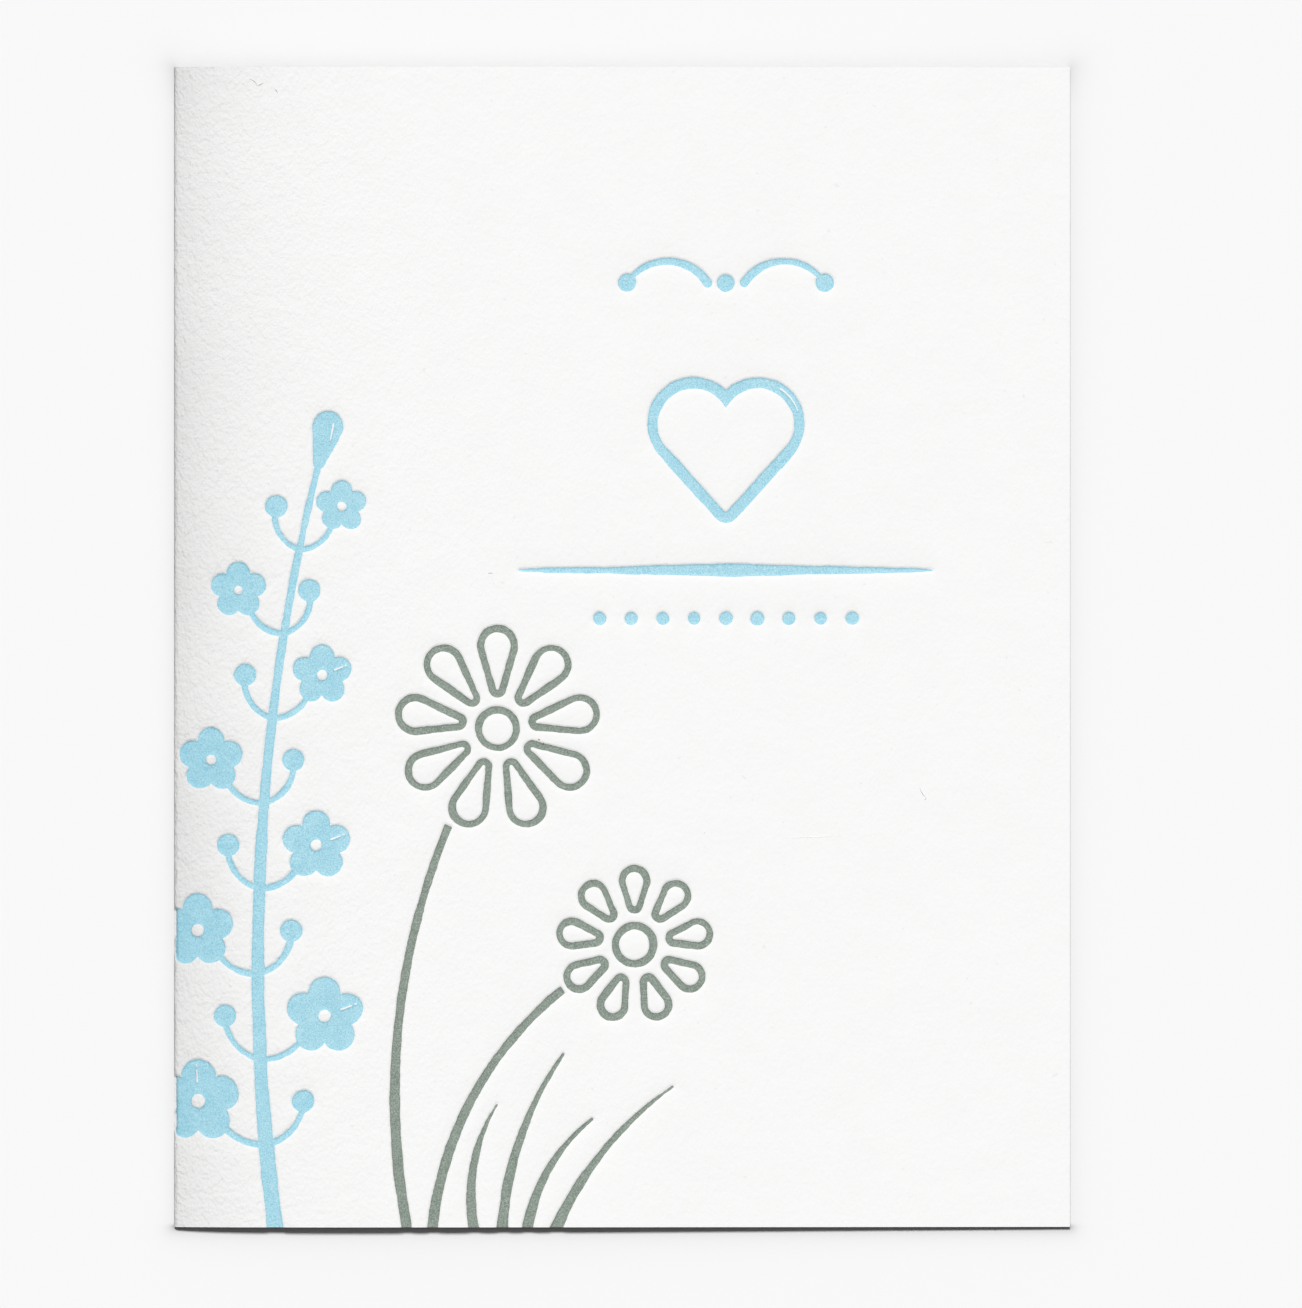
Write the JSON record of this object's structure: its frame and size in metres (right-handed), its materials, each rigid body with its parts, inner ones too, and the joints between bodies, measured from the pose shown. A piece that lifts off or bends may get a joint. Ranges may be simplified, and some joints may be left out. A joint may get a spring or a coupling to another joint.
{
  "type": "greeting card",
  "caption": "Single-fold greeting card lying closed, with a two-colour debossed flower print on its front panel.",
  "frame": {"origin": "under the middle of the closed card, on the surface that it lies on", "axes": "+X from the fold to the free edges, +Y up the card's long side, +Z out of the front panel"},
  "size_m": [0.108, 0.1396, 0.003],
  "materials": {
    "cotton_stock": "soft uncoated cotton stock, fluorescent white, matt",
    "pale_blue_print": "pale blue letterpress ink soaked into the pressed stock, matt",
    "grey_green_print": "grey-green letterpress ink soaked into the pressed stock, matt"
  },
  "bodies": {
    "root": {"folded_card": "cotton_stock", "blue_ink": "pale_blue_print", "green_ink": "grey_green_print"}
  },
  "joints": []
}
